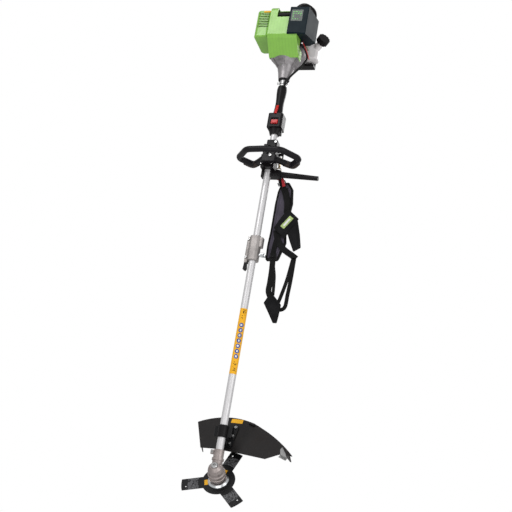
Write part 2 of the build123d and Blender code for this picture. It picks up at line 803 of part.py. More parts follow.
with BuildPart() as crankcase:
    turned([(0, housing_rim), (rim_radius, housing_rim), (rim_radius, fan_back + 4), (0, fan_back + 4)])
    turned([(0, fan_back), (36, fan_back), (36, case_back), (0, case_back)])
    block((-27, 27), (-42, 0), (cylinder_station - 26, cylinder_station + 26), corner=4)
    turned([(0, housing_rim), (64, housing_rim), (64, fan_back), (0, fan_back)], mode=Mode.SUBTRACT)
    turned(
        [(0, fan_back + 8), (28, fan_back + 8), (28, case_back - 6), (0, case_back - 6)],
        mode=Mode.SUBTRACT,
    )
    with BuildSketch(station(fan_back - 1)):
        Circle(crank_radius + running_fit)
    extrude(amount=case_back - fan_back + 2, mode=Mode.SUBTRACT)
    rod(point(0, 0, cylinder_station), (0, -1, 0), cylinder_bore, 50, mode=Mode.SUBTRACT)
crankcase.part.label = "crankcase"
export_step(crankcase.part, "parts/crankcase.step")

pin_radius = 5.0

with BuildPart() as crankshaft:
    turned(
        [(0, flywheel_front - 12), (crank_radius, flywheel_front - 12), (crank_radius, 1728), (0, 1728)],
    )
    for web in (cylinder_station - 14, cylinder_station + 6):
        turned([(0, web), (21, web), (21, web + 8), (0, web + 8)])
    turned(
        [(0, cylinder_station - 6), (30, cylinder_station - 6), (30, cylinder_station + 6), (0, cylinder_station + 6)],
        mode=Mode.SUBTRACT,
    )
    rod(point(0, -crank_throw, cylinder_station - 7), (0, 0, 1), pin_radius, 14)
crankshaft.part.label = "crankshaft"
export_step(crankshaft.part, "parts/crankshaft.step")

with BuildPart() as flywheel:
    turned(
        [
            (crank_radius, flywheel_front), (20, flywheel_front), (20, flywheel_front + 4), (58, flywheel_front + 8),
            (58, flywheel_back), (crank_radius, flywheel_back),
        ]
    )
    for blade_number in range(16):
        angle = blade_number * 22.5
        with BuildSketch(station(flywheel_front + 1).rotated((0, 0, angle))):
            with Locations((45, 0)):
                Rectangle(24, 2.5)
        extrude(amount=8)
flywheel.part.label = "flywheel"
export_step(flywheel.part, "parts/flywheel.step")

shoe_radius = drum_radius - 2.5 - 1.0

with BuildPart() as clutch_shoes:
    with BuildSketch(station(flywheel_front - 18)):
        Circle(shoe_radius)
        Circle(crank_radius + 4, mode=Mode.SUBTRACT)
        Rectangle(90, 5, mode=Mode.SUBTRACT)
    extrude(amount=16)
    for side in (-1, 1):
        rod(point(0, side * 20, flywheel_front - 3), (0, 0, 1), 5, 8)
    with BuildSketch(station(flywheel_front)):
        Rectangle(200, 200)
    extrude(amount=10, mode=Mode.SUBTRACT)
clutch_shoes.part.label = "clutch_shoes"
export_step(clutch_shoes.part, "parts/clutch_shoes.step")

deck = -42.0
plug_way = Vector(0, -0.6, 0.8)
plug_seat = Vector(*point(0, head_height + 1, cylinder_station + 20))
fin_half = 26.0

with BuildPart() as cylinder:
    rod(point(0, deck, cylinder_station), (0, -1, 0), cylinder_bore + 4, deck - head_height)
    for fin in range(7):
        y = deck - 12 - fin * 6.5
        block(
            (-fin_half, fin_half), (y - 2, y),
            (cylinder_station - fin_half, cylinder_station + fin_half), corner=0,
        )
    block((-25, 25), (deck - 4, deck), (cylinder_station - 24, cylinder_station + 24))
    block((18, 33), (-66, -38 - 6), (cylinder_station - 13, cylinder_station + 11))
    block((-30, -18), (-78, -56), (cylinder_station - 14, cylinder_station + 14))
    rod(plug_seat - plug_way * 14, plug_way, 12, 14)
    rod(point(0, deck, cylinder_station), (0, -1, 0), cylinder_bore, 50, mode=Mode.SUBTRACT)
    rod(plug_seat, -plug_way, 5, 20, mode=Mode.SUBTRACT)
    rod(plug_seat, plug_way, 10, 20, mode=Mode.SUBTRACT)
cylinder.part.label = "cylinder"
export_step(cylinder.part, "parts/cylinder.step")

crown = deck - 48.0

with BuildPart() as piston:
    rod(point(0, crown + 28, cylinder_station), (0, -1, 0), cylinder_bore - running_fit, 28)
    rod(point(0, crown + 29, cylinder_station), (0, -1, 0), cylinder_bore - 4, 24, mode=Mode.SUBTRACT)
    block((-6, 6), (crown + 1, -crank_throw), (cylinder_station - 4, cylinder_station + 4))
    rod(
        point(0, 0, cylinder_station - 20), (0, 0, 1), crank_throw + pin_radius + body_gap, 40,
        mode=Mode.SUBTRACT,
    )
piston.part.label = "piston"
export_step(piston.part, "parts/piston.step")

with BuildPart() as spark_plug:
    rod(plug_seat - plug_way * 7, plug_way, 5, 7)
    hex_rod(plug_seat, plug_way, 16, 5)
    rod(plug_seat + plug_way * 5, plug_way, 4.5, 9)
spark_plug.part.label = "spark_plug"
export_step(spark_plug.part, "parts/spark_plug.step")

boot_end = plug_seat + plug_way * 34

with BuildPart() as plug_boot:
    rod(plug_seat + plug_way * 5, plug_way, 8, 29)
    rod(boot_end - across * 20, across, 7.5, 42)
    rod(plug_seat + plug_way * 5, plug_way, 4.5, 9, mode=Mode.SUBTRACT)
plug_boot.part.label = "plug_boot"
export_step(plug_boot.part, "parts/plug_boot.step")

# Covers: the shroud wraps the cylinder's top and sides, the muffler cover its outer side.
shroud_left = -52.0
shroud_right = 64.0
shroud_split = cylinder_station - fin_half - 6
shroud_rear = 1746.0
shroud_side = [
    (-64, 1562), (-122, 1612), (shroud_top, 1624), (shroud_top, 1734), (-120, shroud_rear), (-44, shroud_rear),
    (-44, 1640), (-20, 1614), (-20, 1562),
]
yz_plane = Plane(origin=(0, 0, -hold_station), x_dir=(0, 1, 0), z_dir=(1, 0, 0))

with BuildPart() as engine_shroud:
    with BuildSketch(yz_plane.offset(shroud_left)):
        with BuildLine():
            Polyline(*shroud_side, close=True)
        make_face()
    extrude(amount=shroud_right - shroud_left)
    long_edges = edges().filter_by(Axis.X).group_by(Axis.Y)[0]
    fillet(long_edges, 9)
    with BuildSketch(yz_plane.offset(shroud_left + shroud_wall)):
        with BuildLine():
            Polyline(
                (-60, 1560), (-119.5, 1613), (shroud_top + shroud_wall, 1626), (shroud_top + shroud_wall, 1732),
                (-118, shroud_rear - shroud_wall), (-40, shroud_rear - shroud_wall), (-10, shroud_rear - shroud_wall),
                (-10, 1560), close=True,
            )
        make_face()
    extrude(amount=shroud_right - shroud_left - 2 * shroud_wall, mode=Mode.SUBTRACT)
    block((32, 90), (-140, 0), (shroud_split, 1760), mode=Mode.SUBTRACT)
    block((-60, -45), (-94, -28), (cylinder_station - 26, cylinder_station + 46), mode=Mode.SUBTRACT)
    with BuildSketch(station(1550)):
        Circle(rim_radius + 1)
    extrude(amount=fan_back + 5 - 1550, mode=Mode.SUBTRACT)
    block((-24, 30), (-140, -100), (1700, 1750), mode=Mode.SUBTRACT)
    block((55, 70), (-72, -15), (1600, shroud_split + 1), mode=Mode.SUBTRACT)
    with BuildSketch(station(case_back - 1)):
        Circle(starter_radius + 1)
    extrude(amount=60, mode=Mode.SUBTRACT)
engine_shroud.part.label = "engine_shroud"
export_step(engine_shroud.part, "parts/engine_shroud.step")

cover_left = -114.0
cover_right = shroud_left
cover_low = 1626.0
cover_high = 1745.0

with BuildPart() as muffler_cover:
    block((cover_left, cover_right), (-112, 12), (cover_low, cover_high), corner=16)
    fillet(faces().sort_by(Axis.Z)[-1].edges(), 7)
    fillet(faces().sort_by(Axis.Z)[0].edges(), 7)
    block(
        (cover_left + cover_wall, cover_right + 5), (-112 + cover_wall, 20),
        (cover_low + cover_wall, cover_high - cover_wall), corner=13.5, mode=Mode.SUBTRACT,
    )
    for slot in range(9):
        low = 1668 + slot * 7.6
        block((-104, -62), (-116, -100), (low, low + 4), mode=Mode.SUBTRACT)
        block((cover_left - 4, cover_left + 8), (-80, -20), (low, low + 4), mode=Mode.SUBTRACT)
    with BuildSketch(station(1590)):
        Circle(rim_radius + 1)
    extrude(amount=fan_back + 5 - 1590, mode=Mode.SUBTRACT)
    with BuildSketch(station(case_back - 1)):
        Circle(starter_radius + 1)
    extrude(amount=60, mode=Mode.SUBTRACT)
muffler_cover.part.label = "muffler_cover"
export_step(muffler_cover.part, "parts/muffler_cover.step")

with BuildPart() as muffler:
    block((-102, -36), (-92, -30), (cylinder_station - 24, cylinder_station + 30), corner=8)
    fillet(faces().sort_by(Axis.X)[0].edges(), 4)
    block((-37, -30), (-76, -58), (cylinder_station - 12, cylinder_station + 12))
    rod(point(-88, -31, cylinder_station + 12), (0, 1, 0), 8, 30)
    rod(point(-88, -40, cylinder_station + 12), (0, 1, 0), 6.5, 45, mode=Mode.SUBTRACT)
muffler.part.label = "muffler"
export_step(muffler.part, "parts/muffler.step")

intake_x = 33.0
intake_y = -56.0
intake_station = cylinder_station - 1
base_x = 66.0

with BuildPart() as carburettor:
    block((intake_x, 62), (-72, -40), (intake_station - 25, intake_station + 12), corner=3)
    block((62, base_x), (-68, -44), (intake_station - 14, intake_station + 10))
    rod(point(46, -40, intake_station - 14), (0, 1, 0), 8, 6)
    rod(point(intake_x - 1, intake_y, intake_station), (1, 0, 0), 8, 40, mode=Mode.SUBTRACT)
    rod(point(55, -73, intake_station - 6), (0, 1, 0), 2 + running_fit, 12, mode=Mode.SUBTRACT)
carburettor.part.label = "carburettor"
export_step(carburettor.part, "parts/carburettor.step")

with BuildPart() as choke_lever:
    rod(point(55, -62, intake_station - 6), (0, -1, 0), 2, 14)
    with BuildSketch(Plane(origin=point(55, -73, intake_station - 6), x_dir=(1, 0, 0), z_dir=(0, -1, 0))):
        Circle(4)
        with BuildLine():
            Polyline((-3, 0), (3, 0), (5, -30), (-1, -34), (-4, -28), close=True)
        make_face()
    extrude(amount=2.5)
choke_lever.part.label = "choke_lever"
export_step(choke_lever.part, "parts/choke_lever.step")

box_bottom = 1621.0
box_room_low = 1646.0
box_top = 1739.0
box_outline = [(26, -138), (98, -134), (114, -38), (86, -14), (42, -14), (42, -131.5), (26, -131.5)]
box_room = [(43, -133), (94.5, -130.5), (110.5, -39), (85, -17), (43, -17)]

with BuildPart() as filter_base:
    with BuildSketch(station(box_room_low)):
        with BuildLine():
            Polyline((base_x, -108), (base_x + 3, -108), (base_x + 3, -20), (base_x, -20), close=True)
        make_face()
    extrude(amount=box_top - box_room_low - 4)
    rod(point(base_x - 2, intake_y, intake_station), (1, 0, 0), 8, 8, mode=Mode.SUBTRACT)
filter_base.part.label = "filter_base"
export_step(filter_base.part, "parts/filter_base.step")

with BuildPart() as filter_element:
    block((base_x + 3, base_x + 21), (-100, -34), (box_room_low + 8, box_top - 14), corner=4)
filter_element.part.label = "filter_element"
export_step(filter_element.part, "parts/filter_element.step")

with BuildPart() as filter_cover:
    with BuildSketch(station(box_bottom)):
        with BuildLine():
            Polyline(*box_outline, close=True)
        make_face()
        fillet(vertices(), 2.5)
    extrude(amount=box_top - box_bottom)
    fillet(faces().sort_by(Axis.Z)[-1].edges(), 2)
    with BuildSketch(yz_plane.offset(0)):
        with BuildLine():
            Polyline(
                (-145, box_bottom + 12), (-132, box_bottom), (-5, 1646), (-5, 1600), (-145, 1600),
                close=True,
            )
        make_face()
    extrude(amount=150, mode=Mode.SUBTRACT)
    with BuildSketch(station(box_room_low)):
        with BuildLine():
            Polyline(*box_room, close=True)
        make_face()
    extrude(amount=box_top - cover_wall - box_room_low, mode=Mode.SUBTRACT)
    block((20, base_x - 0.4), (-131.5, -5), (box_bottom - 5, box_top + 5), mode=Mode.SUBTRACT)
filter_cover.part.label = "filter_cover"
export_step(filter_cover.part, "parts/filter_cover.step")

tank_low = 1630.0
tank_high = 1698.0
neck_way = Vector(0.65, -0.68, 0.34).normalized()
neck_start = Vector(*point(92, 58, 1680))
neck_length = 46.0
neck_radius_outer = 15.0
cap_radius = 24.0

with BuildPart() as tank_room:
    block((-59.5, 97.5), (48.5, 93.5), (tank_low + tank_wall, tank_high - tank_wall), corner=11.5)
    with BuildSketch(station(tank_low)):
        Circle(rim_radius + 2 + tank_wall)
    extrude(amount=fan_back + 6 + tank_wall - tank_low, mode=Mode.SUBTRACT)
    rod(neck_start - neck_way * 4, neck_way, neck_radius_outer - tank_wall, neck_length + 10)

with BuildPart() as fuel_tank:
    block((-62, 100), (46, 96), (tank_low, tank_high), corner=14)
    fillet(faces().sort_by(Axis.Z)[-1].edges() + faces().sort_by(Axis.Z)[0].edges(), 6)
    with BuildSketch(station(tank_low)):
        Circle(rim_radius + 2)
    extrude(amount=fan_back + 6 - tank_low, mode=Mode.SUBTRACT)
    rod(neck_start, neck_way, neck_radius_outer, neck_length)
    add(tank_room.part, mode=Mode.SUBTRACT)
fuel_tank.part.label = "fuel_tank"
export_step(fuel_tank.part, "parts/fuel_tank.step")

cap_seat = neck_start + neck_way * (neck_length + 0.4)

with BuildPart() as fuel_cap:
    rod(cap_seat - neck_way * 12, neck_way, cap_radius, 22)
    rod(cap_seat - neck_way * 13, neck_way, neck_radius_outer + 0.6, 13, mode=Mode.SUBTRACT)
    with BuildSketch(Plane(origin=cap_seat - neck_way * 12, z_dir=neck_way)):
        with PolarLocations(cap_radius + 1, 12):
            Circle(3.2)
    extrude(amount=22, mode=Mode.SUBTRACT)
fuel_cap.part.label = "fuel_cap"
export_step(fuel_cap.part, "parts/fuel_cap.step")

foot_face = 104.0

with BuildPart() as tank_guard:
    block((-66, 84), (98, foot_face), (1612, 1706))
    block((-66, 84), (74, foot_face), (1610, 1620))
    block((-60, 80), (96, 98), (tank_low + 12, tank_high - 12))
    for rib_x in (-50, -10, 30, 70):
        block((rib_x - 2, rib_x + 2), (80, 99), (1620, 1629))
tank_guard.part.label = "tank_guard"
export_step(tank_guard.part, "parts/tank_guard.step")

pulley_radius = 28.0
rope_exit = point(44, -30, starter_back - 2)
pull_way = Vector(0.60, -0.25, 0.76).normalized()
handle_seat = Vector(*rope_exit) + pull_way * 34

with BuildPart() as starter_housing:
    turned(
        [
            (0, case_back), (starter_radius, case_back), (starter_radius, 1744), (50, 1756),
            (38, starter_back), (0, starter_back),
        ]
    )
    rod(Vector(*rope_exit) - pull_way * 14, pull_way, 9, 35)
    turned([(0, case_back), (51, case_back), (51, 1744), (0, 1744)], mode=Mode.SUBTRACT)
    rod(Vector(*rope_exit) - pull_way * 30, pull_way, 3, 70, mode=Mode.SUBTRACT)
    for slot in range(12):
        angle = slot * 30
        with BuildSketch(station(1740).rotated((0, 0, angle))):
            with Locations((26, 0)):
                SlotOverall(20, 4)
        extrude(amount=30, mode=Mode.SUBTRACT)
    rod(point(0, 0, 1740), (0, 0, 1), 8, 10, mode=Mode.SUBTRACT)
starter_housing.part.label = "starter_housing"
export_step(starter_housing.part, "parts/starter_housing.step")

with BuildPart() as starter_pulley:
    turned(
        [
            (7, 1732), (34, 1732), (34, 1734), (pulley_radius, 1735), (pulley_radius, 1739), (34, 1740),
            (34, 1742), (7, 1742),
        ]
    )
    rod(point(0, 0, 1742), (0, 0, 1), 7.95, 6)
starter_pulley.part.label = "starter_pulley"
export_step(starter_pulley.part, "parts/starter_pulley.step")

bar_way = Vector(0.62, 0.79, 0).normalized()
pull_side = (bar_way - pull_way * bar_way.dot(pull_way)).normalized()

with BuildPart() as starter_handle:
    grip_plane = Plane(origin=handle_seat, x_dir=pull_side, z_dir=pull_side.cross(pull_way))
    with BuildSketch(grip_plane):
        with BuildLine():
            Line((-5, -12), (5, -12))
            Line((5, -12), (8, 6))
            ThreePointArc((8, 6), (26, -2), (42, -26))
            Line((42, -26), (47, -24))
            ThreePointArc((47, -24), (32, 12), (0, 22))
            ThreePointArc((0, 22), (-32, 12), (-47, -24))
            Line((-47, -24), (-42, -26))
            ThreePointArc((-42, -26), (-26, -2), (-8, 6))
            Line((-8, 6), (-5, -12))
        make_face()
    extrude(amount=9, both=True)
starter_handle.part.label = "starter_handle"
export_step(starter_handle.part, "parts/starter_handle.step")

# The loom carries the throttle cable and the stop leads from the grip to the engine.
loom_points = [
    point(11, -13, grip_high - 8),
    point(11, -13, 1487),
    point(38, -16, 1519),
    point(67, -13, 1555),
    point(84, -12, 1590),
    point(76, -34, 1616),
    point(58, -52, 1630),
    point(58, -52, 1642),
]

with BuildPart() as throttle_loom:
    with BuildLine() as loom_line:
        FilletPolyline(*loom_points, radius=(20, 60, 60, 20, 20, 8))
    with BuildSketch(Plane(origin=loom_line.line @ 0, z_dir=loom_line.line % 0)):
        Circle(loom_radius)
    sweep(path=loom_line.line)
throttle_loom.part.label = "throttle_loom"
export_step(throttle_loom.part, "parts/throttle_loom.step")

# ---------------------------------------------------------------- harness

hook_wire = 2.0
swivel_station = hook_station - 44
ring_station = swivel_station - 10
ring_bore = 8.0

with BuildPart() as snap_hook:
    with BuildLine() as hook_path:
        FilletPolyline(
            point(hook_x, hook_y - 8, hook_station - 30),
            point(hook_x, hook_y - 8, hook_station - 5),
            point(hook_x, hook_y, hook_station),
            point(hook_x, hook_y + 8, hook_station - 5),
            point(hook_x, hook_y + 8, hook_station - 30),
            radius=4,
        )
    with BuildSketch(Plane(origin=hook_path.line @ 0, z_dir=hook_path.line % 0)):
        Circle(hook_wire)
    sweep(path=hook_path.line)
    block(
        (hook_x - 3, hook_x + 3), (hook_y - 10.5, hook_y + 10.5),
        (hook_station - 36, hook_station - 28), corner=2,
    )
    rod(point(hook_x, hook_y, hook_station - 46), (0, 0, 1), 4, 12)
    with BuildSketch(Plane(origin=point(hook_x, hook_y, ring_station), z_dir=(0, 1, 0))):
        Circle(ring_bore + 3)
        Circle(ring_bore, mode=Mode.SUBTRACT)
    extrude(amount=2, both=True)
snap_hook.part.label = "snap_hook"
export_step(snap_hook.part, "parts/snap_hook.step")


def pad(outline, y_low, y_high, corner):
    """A flat soft piece between two depths, from its (x, station) outline."""
    plane = Plane(origin=(0, y_high, -hold_station), x_dir=(1, 0, 0), z_dir=(0, -1, 0))
    with BuildSketch(plane) as shape:
        with BuildLine():
            Polyline(*outline, close=True)
        make_face()
        fillet(vertices(), corner)
    extrude(shape.sketch, amount=y_high - y_low)


# Soft pieces hang below the hook behind the barrier bar: pads in front, webbing, then the hip panel.
strap_station = ring_station - ring_bore + 3.3
pad_front = 20.0
pad_rear = 33.0
strap_front = 33.3
strap_rear = 37.0
hip_front = 37.3
hip_rear = 54.0
hip_outline = [
    (47, 1082), (74, 1084), (90, 1060), (98, 985), (88, 940), (85, 895), (96, 855),
    (92, 800), (74, 778), (38, 776), (36, 830), (39, 890), (38, 1000), (41, 1060),
]
back_outline = [
    (91, 973), (137, 935), (151, 871), (160, 824), (138, 808), (122, 841), (103, 868), (93, 857), (51, 897),
]
flap_outline = [(60, 607), (72, 634), (90, 638), (122, 604), (118, 540), (110, 532), (98, 552)]
left_outline = [
    (50, 800), (72, 800), (76, 740), (78, 690), (78, 656), (90, 632), (74, 620), (58, 650), (56, 690), (56, 740),
]
cross_outline = [
    (50, 896), (66, 838), (96, 808), (128, 786), (146, 772), (156, 792), (138, 808), (112, 828),
    (88, 852), (74, 896),
]
right_outline = [
    (134, 780), (152, 780), (150, 704), (147, 644), (146, 590), (118, 580), (108, 590), (112, 598),
    (131, 602), (132, 644), (134, 704),
]
slant_outline = [
    (130, 776), (145, 776), (136, 704), (124, 643), (114, 600), (102, 604), (111, 643), (122, 704),
]
top_outline = [
    (30, 1119), (42, 1119), (66, 1062), (90, 1016), (96, 965), (74, 965), (64, 1014), (46, 1058),
]

with BuildPart() as hip_pad:
    pad(hip_outline, hip_front, hip_rear, 6)
hip_pad.part.label = "hip_pad"
export_step(hip_pad.part, "parts/hip_pad.step")

with BuildPart() as harness_pads:
    pad(back_outline, pad_front, pad_rear, 5)
    pad(flap_outline, pad_front + 3, pad_rear, 5)
harness_pads.part.label = "harness_pads"
export_step(harness_pads.part, "parts/harness_pads.step")

with BuildPart() as harness_straps:
    rod(point(hook_x, hook_y - 7, strap_station), (0, 1, 0), 3, 10)
    block((23, 33), (hook_y - 7, hook_y - 4), (1114, strap_station + 5))
    block((23, 40), (hook_y - 7, strap_rear), (1113, 1120))
    pad(top_outline, strap_front, strap_rear, 1)
    pad(left_outline, strap_front, strap_rear, 2)
    pad(cross_outline, strap_front, strap_rear, 2)
    pad(right_outline, strap_front, strap_rear, 2)
    pad(slant_outline, strap_front, strap_rear, 1)
harness_straps.part.label = "harness_straps"
export_step(harness_straps.part, "parts/harness_straps.step")
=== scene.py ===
import json
import math
import random

import bmesh
import bpy
from mathutils import Matrix, Vector, noise


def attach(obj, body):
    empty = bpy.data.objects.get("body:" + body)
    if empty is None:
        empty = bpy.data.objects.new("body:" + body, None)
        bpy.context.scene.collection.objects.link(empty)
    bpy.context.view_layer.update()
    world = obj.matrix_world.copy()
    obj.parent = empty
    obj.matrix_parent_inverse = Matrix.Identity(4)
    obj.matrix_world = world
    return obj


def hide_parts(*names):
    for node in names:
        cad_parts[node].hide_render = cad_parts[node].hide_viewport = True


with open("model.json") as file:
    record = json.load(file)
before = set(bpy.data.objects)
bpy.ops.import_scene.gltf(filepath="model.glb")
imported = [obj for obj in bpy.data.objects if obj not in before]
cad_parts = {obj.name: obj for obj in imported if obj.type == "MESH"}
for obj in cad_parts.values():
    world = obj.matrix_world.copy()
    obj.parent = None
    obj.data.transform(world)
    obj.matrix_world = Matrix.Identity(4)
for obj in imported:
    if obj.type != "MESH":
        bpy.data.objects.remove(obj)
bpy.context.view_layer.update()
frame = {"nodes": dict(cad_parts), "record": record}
nodes = frame["nodes"]
chance = random.Random(7)
holdStation = 960  # millimetres up the tube from the gear centre to the holding point
mainBody = "frame_tube"


def level(station):
    return (station - holdStation) / 1000


def at(x, y, station):
    # millimetres across, down and up the tube
    return Vector((x, y, station - holdStation)) / 1000


class Wire:
    # a node's output, which arithmetic turns into more nodes
    def __init__(self, tree, socket):
        self.tree = tree
        self.socket = socket

    def math(self, operation, other=0.0):
        return make(self.tree, "ShaderNodeMath", {0: self, 1: other}, operation=operation)

    def __add__(self, other):
        return self.math("ADD", other)

    def __mul__(self, other):
        return self.math("MULTIPLY", other)

    def __sub__(self, other):
        return self.math("SUBTRACT", other)

    def __rsub__(self, other):
        return make(self.tree, "ShaderNodeMath", {0: other, 1: self}, operation="SUBTRACT")

    def __gt__(self, other):
        return self.math("GREATER_THAN", other)

    def __lt__(self, other):
        return self.math("LESS_THAN", other)

    def spread(self, low, high, toLow=0.0, toHigh=1.0):
        inputs = {0: self, 1: low, 2: high, 3: toLow, 4: toHigh}
        return make(self.tree, "ShaderNodeMapRange", inputs, interpolation_type="SMOOTHSTEP")


def make(tree, kind, inputs, output=0, **settings):
    node = tree.nodes.new(kind)
    for key, value in settings.items():
        setattr(node, key, value)
    for key, value in inputs.items():
        if isinstance(value, Wire):
            tree.links.new(value.socket, node.inputs[key])
        else:
            node.inputs[key].default_value = value
    return Wire(tree, node.outputs[output])


def blendColours(tree, share, first, second):
    inputs = {0: share, 6: first, 7: second}
    return make(tree, "ShaderNodeMix", inputs, output=2, data_type="RGBA")


def objectPlace(tree):
    return make(tree, "ShaderNodeTexCoord", {}, output="Object")


def grained(tree, scale, detail, stretch=(1, 1, 1)):
    mapped = make(tree, "ShaderNodeMapping", {"Vector": objectPlace(tree), "Scale": stretch})
    return make(tree, "ShaderNodeTexNoise", {"Vector": mapped, "Scale": scale, "Detail": detail})


def waves(tree, scale, way):
    inputs = {"Vector": objectPlace(tree), "Scale": scale}
    return make(tree, "ShaderNodeTexWave", inputs, output=1, bands_direction=way)


usual = {
    "dark": 0.8, "cloud": 18, "grain": 900, "stretch": (1, 1, 1), "sparkle": 0.1, "metal": 0.0,
    "coat": 0.0, "specular": 0.5, "bump": 0.3, "depth": 0.0002,
}
dustLook = {"scale": 60, "colour": (0.3, 0.28, 0.25, 1)}


def material(name, chosen):
    look = {**usual, **chosen}
    mat = bpy.data.materials.new(name)
    mat.use_nodes = True
    tree = mat.node_tree
    shader = tree.nodes["Principled BSDF"]
    colour = (*look["colour"], 1)
    shade = (*[c * look["dark"] for c in look["colour"]], 1)
    cloud = grained(tree, look["cloud"], 5)
    fine = grained(tree, look["grain"], 3, look["stretch"])
    tint = blendColours(tree, cloud.spread(0.35, 0.7), colour, shade)
    if "layer" in look:
        tint = look["layer"](tree, tint)
    if "dust" in look:
        dust = grained(tree, dustLook["scale"], 8).spread(0.55, 0.75) * look["dust"]
        tint = blendColours(tree, dust, tint, dustLook["colour"])
    tree.links.new(tint.socket, shader.inputs["Base Color"])
    rough = cloud.spread(0.3, 0.7, look["rough"] * 0.88, look["rough"] * 1.12)
    rough = rough + (fine - 0.5) * look["sparkle"]
    tree.links.new(rough.math("MINIMUM", 1.0).socket, shader.inputs["Roughness"])
    shader.inputs["Metallic"].default_value = look["metal"]
    shader.inputs["Coat Weight"].default_value = look["coat"]
    shader.inputs["Specular IOR Level"].default_value = look["specular"]
    height = fine
    if "weave" in look:
        woven = waves(tree, look["weave"], "X").math("MAXIMUM", waves(tree, look["weave"], "Z"))
        height = woven + fine * 0.4
    inputs = {"Height": height, "Strength": look["bump"], "Distance": look["depth"]}
    tree.links.new(make(tree, "ShaderNodeBump", inputs).socket, shader.inputs["Normal"])
    return mat


def nearBand(tree, centre, low, high):
    inputs = {0: objectPlace(tree), 1: centre}
    far = make(tree, "ShaderNodeVectorMath", inputs, output=1, operation="DISTANCE")
    return (far > low) * (far < high)


gearCentre = at(0, 0, 0)
spin = Vector((0, -0.8660254, 0.5))  # the blade's axle, 60 degrees from the tube
backward = Vector((0, 0.5, 0.8660254))
bladeCentre = gearCentre - spin * 0.0465
# grey of the printed lettering, also used for the painted highlight arcs round the hub
bladeInkAndHighlight = {
    "colour": (0.42, 0.42, 0.44, 1), "letter": 330.0, "gap": 0.32, "arms": (0.070, 0.106),
    "highlightArcs": (0.0485, 0.0515), "armShare": 0.3, "highlightShare": 0.95,
}


def bladePrintAndHighlight(tree, tint):
    # worn grey lettering on the arms, and two pale arcs round the hub that are painted highlights
    worn = grained(tree, 260, 6).spread(0.42, 0.52)
    inputs = {"Vector": objectPlace(tree), "Scale": bladeInkAndHighlight["letter"]}
    letters = make(tree, "ShaderNodeTexVoronoi", inputs) > bladeInkAndHighlight["gap"]
    arms = nearBand(tree, bladeCentre, *bladeInkAndHighlight["arms"]) * worn * letters
    # angle span and ring of the painted highlight arcs
    inputs = {"Vector": objectPlace(tree), "Rotation": (0.0, 0.0, 0.7)}
    turned = {"Vector": make(tree, "ShaderNodeMapping", inputs)}
    around = make(tree, "ShaderNodeTexGradient", turned, output=1, gradient_type="RADIAL")
    highlightSpan = around.spread(0.1, 0.16) * (1 - around.spread(0.3, 0.36))
    highlightArcs = nearBand(tree, bladeCentre, *bladeInkAndHighlight["highlightArcs"]) * highlightSpan
    share = (arms * bladeInkAndHighlight["armShare"] + highlightArcs * bladeInkAndHighlight["highlightShare"]).math("MINIMUM", 1.0)
    return blendColours(tree, share, tint, bladeInkAndHighlight["colour"])


ribLook = {"scale": 26.0, "share": 0.22, "colour": (0.14, 0.34, 0.04, 1)}


def ribShade(tree, tint):
    # faint upright ribs moulded in the cover
    share = waves(tree, ribLook["scale"], "X").spread(0.75, 1.0, 0.0, ribLook["share"])
    return blendColours(tree, share, tint, ribLook["colour"])


